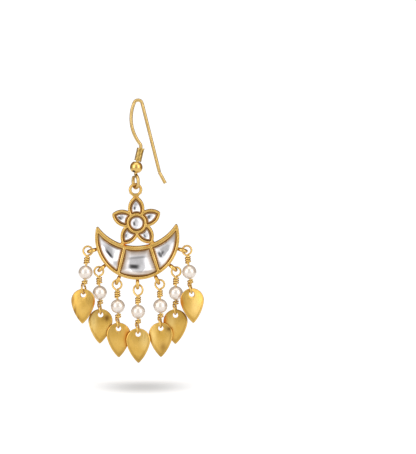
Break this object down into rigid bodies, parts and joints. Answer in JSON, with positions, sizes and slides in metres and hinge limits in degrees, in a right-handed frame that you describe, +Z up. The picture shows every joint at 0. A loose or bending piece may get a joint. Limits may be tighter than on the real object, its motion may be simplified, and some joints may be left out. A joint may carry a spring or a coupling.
{
  "type": "chandbali earring",
  "caption": "Ear hook with a coil and ball, carrying a flower and crescent frame set with clear stones; pearl links with leaf drops hang along its lower edge.",
  "frame": {"origin": "underside of the hook's crown, where the ear lobe carries the earring", "axes": "+Z up, +X to the right of the face as it is looked at, and the face looks along -Y"},
  "size_m": [0.0318, 0.0042, 0.0634],
  "materials": {
    "ear_wire": "polished pale gold plating",
    "gold": "satin yellow gold plating",
    "stone": "clear cut glass on a silvered back",
    "pearl": "pearl lustre",
    "leaf": "brushed satin gold plating"
  },
  "bodies": {
    "hook": {"ear_hook": "ear_wire", "hook_coil": "gold", "hook_ball": "gold"},
    "pendant": {"frame": "gold", "stone_center": "stone", "stone_petal_1": "stone", "stone_petal_2": "stone", "stone_petal_3": "stone", "stone_petal_4": "stone", "stone_petal_5": "stone", "stone_crescent_left": "stone", "stone_crescent_middle": "stone", "stone_crescent_right": "stone", "link_1": "gold", "link_2": "gold", "link_3": "gold", "link_4": "gold", "link_5": "gold", "link_6": "gold", "link_7": "gold", "pearl_1": "pearl", "pearl_2": "pearl", "pearl_3": "pearl", "pearl_4": "pearl", "pearl_5": "pearl", "pearl_6": "pearl", "pearl_7": "pearl", "leaf_1": "leaf", "leaf_2": "leaf", "leaf_3": "leaf", "leaf_4": "leaf", "leaf_5": "leaf", "leaf_6": "leaf", "leaf_7": "leaf"}
  },
  "joints": [
    {"name": "pendant_swing", "type": "hinge", "parent": "hook", "child": "pendant", "pos_m": [-0.00064, 0, -0.02104], "axis": [0, 1, 0], "range_deg": [-30, 30]}
  ]
}
